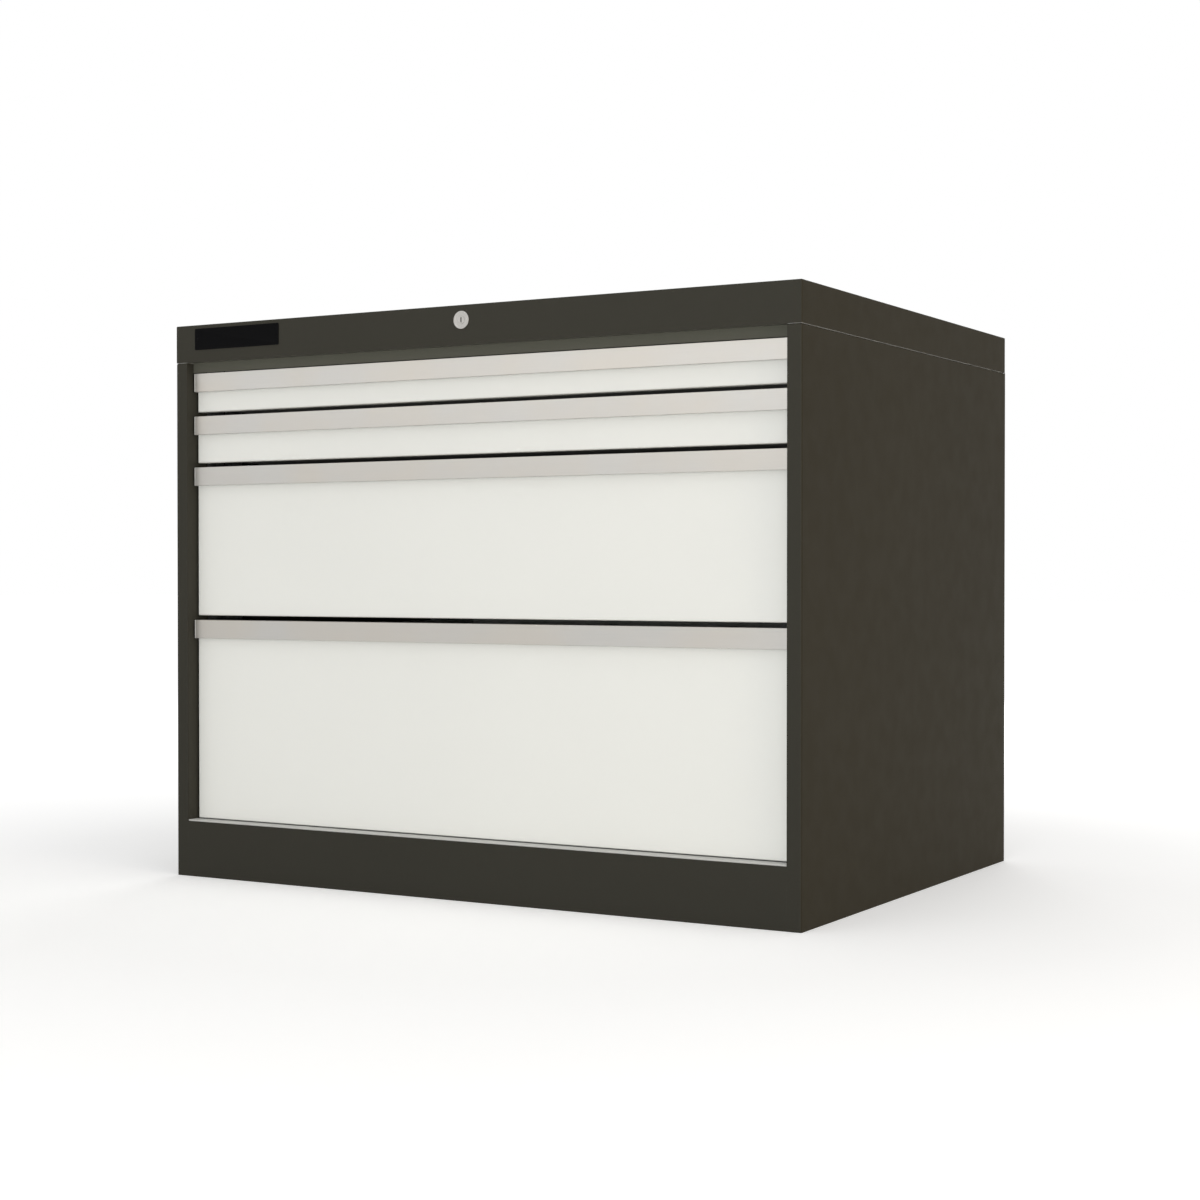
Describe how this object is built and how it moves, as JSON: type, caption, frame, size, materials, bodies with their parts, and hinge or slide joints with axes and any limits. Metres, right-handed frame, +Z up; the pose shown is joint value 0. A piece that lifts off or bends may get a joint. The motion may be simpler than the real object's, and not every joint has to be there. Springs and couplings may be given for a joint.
{
  "type": "heavy-duty drawer cabinet",
  "caption": "Wide low steel drawer cabinet with full-width handle strips, full-extension roller drawers and central key lock.",
  "frame": {"origin": "middle of the cabinet's footprint, on the floor", "axes": "+X to the right seen from the front, +Y from the drawers to the back, +Z up"},
  "size_m": [1.01, 0.7562, 0.81],
  "materials": {
    "olive_powder_coat": "fine textured satin powder coat, dark olive grey",
    "deck_grey": "satin paint, warm mid grey",
    "front_white": "smooth satin powder coat, pale grey",
    "light_grey_paint": "satin powder coat, light grey",
    "handle_aluminium": "natural anodised, satin, drawn lengthwise",
    "cap_grey": "matte, light grey",
    "zinc": "bright zinc plated, slightly mottled",
    "roller_nylon": "turned nylon, dark",
    "lock_nickel": "satin nickel",
    "plate_black": "semi-gloss, black, blank"
  },
  "bodies": {
    "housing": {"left_side_panel": "olive_powder_coat", "right_side_panel": "olive_powder_coat", "back_panel": "olive_powder_coat", "top_cover": "olive_powder_coat", "top_deck": "deck_grey", "base_frame": "olive_powder_coat", "floor_deck": "light_grey_paint", "left_front_upright": "zinc", "left_rear_upright": "zinc", "right_front_upright": "zinc", "right_rear_upright": "zinc", "name_plate": "plate_black", "lock_housing": "lock_nickel", "lock_nut": "zinc", "back_panel_screws": "zinc", "drawer_1_fixed_rails": "zinc", "drawer_2_fixed_rails": "zinc", "drawer_3_fixed_rails": "zinc", "drawer_4_fixed_rails": "zinc"},
    "drawer_1": {"drawer_1_tray": "light_grey_paint", "drawer_1_front": "front_white", "drawer_1_handle": "handle_aluminium", "drawer_1_handle_caps": "cap_grey"},
    "drawer_2": {"drawer_2_tray": "light_grey_paint", "drawer_2_front": "front_white", "drawer_2_handle": "handle_aluminium", "drawer_2_handle_caps": "cap_grey"},
    "drawer_3": {"drawer_3_tray": "light_grey_paint", "drawer_3_front": "front_white", "drawer_3_handle": "handle_aluminium", "drawer_3_handle_caps": "cap_grey"},
    "drawer_4": {"drawer_4_tray": "light_grey_paint", "drawer_4_front": "front_white", "drawer_4_handle": "handle_aluminium", "drawer_4_handle_caps": "cap_grey"},
    "carriage_1": {"drawer_1_left_carriage": "zinc", "drawer_1_right_carriage": "zinc"},
    "carriage_2": {"drawer_2_left_carriage": "zinc", "drawer_2_right_carriage": "zinc"},
    "carriage_3": {"drawer_3_left_carriage": "zinc", "drawer_3_right_carriage": "zinc"},
    "carriage_4": {"drawer_4_left_carriage": "zinc", "drawer_4_right_carriage": "zinc"},
    "front_rollers_1": {"drawer_1_front_rollers": "roller_nylon"},
    "middle_rollers_1": {"drawer_1_middle_rollers": "roller_nylon"},
    "rear_rollers_1": {"drawer_1_rear_rollers": "roller_nylon"},
    "front_rollers_2": {"drawer_2_front_rollers": "roller_nylon"},
    "middle_rollers_2": {"drawer_2_middle_rollers": "roller_nylon"},
    "rear_rollers_2": {"drawer_2_rear_rollers": "roller_nylon"},
    "front_rollers_3": {"drawer_3_front_rollers": "roller_nylon"},
    "middle_rollers_3": {"drawer_3_middle_rollers": "roller_nylon"},
    "rear_rollers_3": {"drawer_3_rear_rollers": "roller_nylon"},
    "front_rollers_4": {"drawer_4_front_rollers": "roller_nylon"},
    "middle_rollers_4": {"drawer_4_middle_rollers": "roller_nylon"},
    "rear_rollers_4": {"drawer_4_rear_rollers": "roller_nylon"},
    "lock_plug": {"lock_plug": "lock_nickel", "lock_cam": "zinc", "lock_cam_screw": "zinc"},
    "lock_link": {"lock_link": "zinc"},
    "lock_bar": {"lock_bar": "zinc"}
  },
  "joints": [
    {"name": "drawer_1_slide", "type": "slide", "parent": "housing", "child": "drawer_1", "axis": [0, -1, 0], "range_m": [0, 0.6454]},
    {"name": "carriage_1_slide", "type": "slide", "parent": "housing", "child": "carriage_1", "axis": [0, -1, 0], "range_m": [0, 0.3227]},
    {"name": "front_rollers_1_spin", "type": "hinge", "parent": "carriage_1", "child": "front_rollers_1", "pos_m": [0, -0.3262, 0.7105], "axis": [1, 0, 0], "continuous": true},
    {"name": "middle_rollers_1_spin", "type": "hinge", "parent": "carriage_1", "child": "middle_rollers_1", "pos_m": [0, -0.0015, 0.7105], "axis": [1, 0, 0], "continuous": true},
    {"name": "rear_rollers_1_spin", "type": "hinge", "parent": "carriage_1", "child": "rear_rollers_1", "pos_m": [0, 0.3492, 0.7105], "axis": [1, 0, 0], "continuous": true},
    {"name": "drawer_2_slide", "type": "slide", "parent": "housing", "child": "drawer_2", "axis": [0, -1, 0], "range_m": [0, 0.6454]},
    {"name": "carriage_2_slide", "type": "slide", "parent": "housing", "child": "carriage_2", "axis": [0, -1, 0], "range_m": [0, 0.3227]},
    {"name": "front_rollers_2_spin", "type": "hinge", "parent": "carriage_2", "child": "front_rollers_2", "pos_m": [0, -0.3262, 0.6355], "axis": [1, 0, 0], "continuous": true},
    {"name": "middle_rollers_2_spin", "type": "hinge", "parent": "carriage_2", "child": "middle_rollers_2", "pos_m": [0, -0.0015, 0.6355], "axis": [1, 0, 0], "continuous": true},
    {"name": "rear_rollers_2_spin", "type": "hinge", "parent": "carriage_2", "child": "rear_rollers_2", "pos_m": [0, 0.3492, 0.6355], "axis": [1, 0, 0], "continuous": true},
    {"name": "drawer_3_slide", "type": "slide", "parent": "housing", "child": "drawer_3", "axis": [0, -1, 0], "range_m": [0, 0.6454]},
    {"name": "carriage_3_slide", "type": "slide", "parent": "housing", "child": "carriage_3", "axis": [0, -1, 0], "range_m": [0, 0.3227]},
    {"name": "front_rollers_3_spin", "type": "hinge", "parent": "carriage_3", "child": "front_rollers_3", "pos_m": [0, -0.3262, 0.4105], "axis": [1, 0, 0], "continuous": true},
    {"name": "middle_rollers_3_spin", "type": "hinge", "parent": "carriage_3", "child": "middle_rollers_3", "pos_m": [0, -0.0015, 0.4105], "axis": [1, 0, 0], "continuous": true},
    {"name": "rear_rollers_3_spin", "type": "hinge", "parent": "carriage_3", "child": "rear_rollers_3", "pos_m": [0, 0.3492, 0.4105], "axis": [1, 0, 0], "continuous": true},
    {"name": "drawer_4_slide", "type": "slide", "parent": "housing", "child": "drawer_4", "axis": [0, -1, 0], "range_m": [0, 0.6454]},
    {"name": "carriage_4_slide", "type": "slide", "parent": "housing", "child": "carriage_4", "axis": [0, -1, 0], "range_m": [0, 0.3227]},
    {"name": "front_rollers_4_spin", "type": "hinge", "parent": "carriage_4", "child": "front_rollers_4", "pos_m": [0, -0.3262, 0.1105], "axis": [1, 0, 0], "continuous": true},
    {"name": "middle_rollers_4_spin", "type": "hinge", "parent": "carriage_4", "child": "middle_rollers_4", "pos_m": [0, -0.0015, 0.1105], "axis": [1, 0, 0], "continuous": true},
    {"name": "rear_rollers_4_spin", "type": "hinge", "parent": "carriage_4", "child": "rear_rollers_4", "pos_m": [0, 0.3492, 0.1105], "axis": [1, 0, 0], "continuous": true},
    {"name": "lock_bar_slide", "type": "slide", "parent": "housing", "child": "lock_bar", "axis": [0, 0, -1], "range_m": [0, 0.012]},
    {"name": "key_turn", "type": "hinge", "parent": "housing", "child": "lock_plug", "pos_m": [0, -0.3775, 0.7895], "axis": [0, 1, 0], "range_deg": [0, 90.1]},
    {"name": "lock_link_slide", "type": "slide", "parent": "housing", "child": "lock_link", "axis": [-1, 0, 0], "range_m": [0, 0.0142]}
  ],
  "couplings": [
    {"joint": "carriage_1_slide", "follows": "drawer_1_slide", "ratio": 0.5},
    {"joint": "front_rollers_1_spin", "follows": "drawer_1_slide", "rad_per_m": 45.455},
    {"joint": "middle_rollers_1_spin", "follows": "drawer_1_slide", "rad_per_m": 45.455},
    {"joint": "rear_rollers_1_spin", "follows": "drawer_1_slide", "rad_per_m": 45.455},
    {"joint": "carriage_2_slide", "follows": "drawer_2_slide", "ratio": 0.5},
    {"joint": "front_rollers_2_spin", "follows": "drawer_2_slide", "rad_per_m": 45.455},
    {"joint": "middle_rollers_2_spin", "follows": "drawer_2_slide", "rad_per_m": 45.455},
    {"joint": "rear_rollers_2_spin", "follows": "drawer_2_slide", "rad_per_m": 45.455},
    {"joint": "carriage_3_slide", "follows": "drawer_3_slide", "ratio": 0.5},
    {"joint": "front_rollers_3_spin", "follows": "drawer_3_slide", "rad_per_m": 45.455},
    {"joint": "middle_rollers_3_spin", "follows": "drawer_3_slide", "rad_per_m": 45.455},
    {"joint": "rear_rollers_3_spin", "follows": "drawer_3_slide", "rad_per_m": 45.455},
    {"joint": "carriage_4_slide", "follows": "drawer_4_slide", "ratio": 0.5},
    {"joint": "front_rollers_4_spin", "follows": "drawer_4_slide", "rad_per_m": 45.455},
    {"joint": "middle_rollers_4_spin", "follows": "drawer_4_slide", "rad_per_m": 45.455},
    {"joint": "rear_rollers_4_spin", "follows": "drawer_4_slide", "rad_per_m": 45.455},
    {"joint": "key_turn", "follows": "lock_bar_slide", "rad_per_m": 130.9},
    {"joint": "lock_link_slide", "follows": "lock_bar_slide", "ratio": 1.1785}
  ]
}
